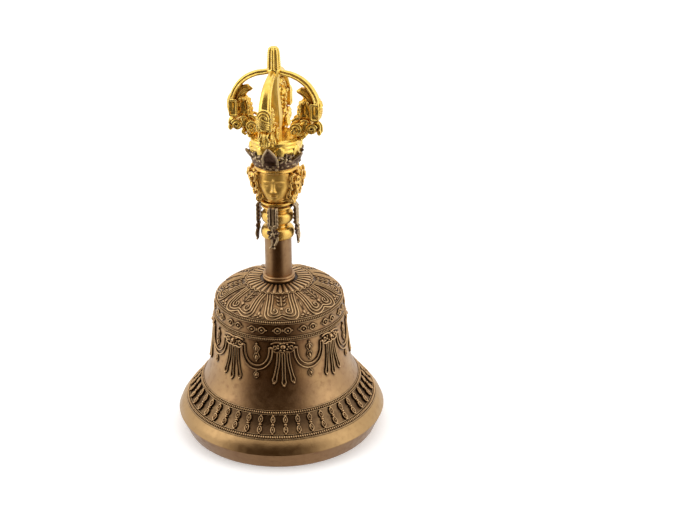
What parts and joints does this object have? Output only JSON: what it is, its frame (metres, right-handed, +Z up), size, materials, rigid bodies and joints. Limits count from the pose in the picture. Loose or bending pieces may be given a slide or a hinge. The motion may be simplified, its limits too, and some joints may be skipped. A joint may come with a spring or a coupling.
{
  "type": "ritual hand bell",
  "caption": "Cast bronze hand bell with a stacked figure and half vajra handle, and a clapper hung on a link inside.",
  "frame": {"origin": "centre of the bell's mouth, on the plane it stands on", "axes": "+Z up through the handle to the tip, -Y the way the face on the handle looks, +X to the face's left"},
  "size_m": [0.09, 0.09, 0.17],
  "materials": {
    "bronze": "antique bronze, dark in the recesses",
    "gilt": "bright gilding",
    "dark_bronze": "dark antique bronze, worn edges",
    "steel": "plain bright steel",
    "iron": "dark wrought iron"
  },
  "bodies": {
    "root": {"bell_cup": "bronze", "stem_collar": "bronze", "stem_tube": "bronze", "baluster": "gilt", "strap_ring": "gilt", "neck_ring": "gilt", "head": "gilt", "petal_crown": "dark_bronze", "vajra_seat": "gilt", "centre_prong": "gilt", "eye_bolt": "steel", "crown_washer": "steel", "crown_nut": "steel", "strap_right": "dark_bronze", "claw_right": "gilt", "strap_back": "dark_bronze", "claw_back": "gilt", "strap_left": "dark_bronze", "claw_left": "gilt", "strap_front": "dark_bronze", "claw_front": "gilt"},
    "link": {"clapper_link": "steel"},
    "clapper": {"clapper_rod": "iron", "clapper_bulb": "iron"}
  },
  "joints": [
    {"name": "link_swing", "type": "hinge", "parent": "root", "child": "link", "pos_m": [0, 0, 0.0516], "axis": [0, 1, 0], "range_deg": [-16, 16]},
    {"name": "clapper_swing", "type": "hinge", "parent": "link", "child": "clapper", "pos_m": [0, 0, 0.04515], "axis": [1, 0, 0], "range_deg": [-38, 38]}
  ]
}
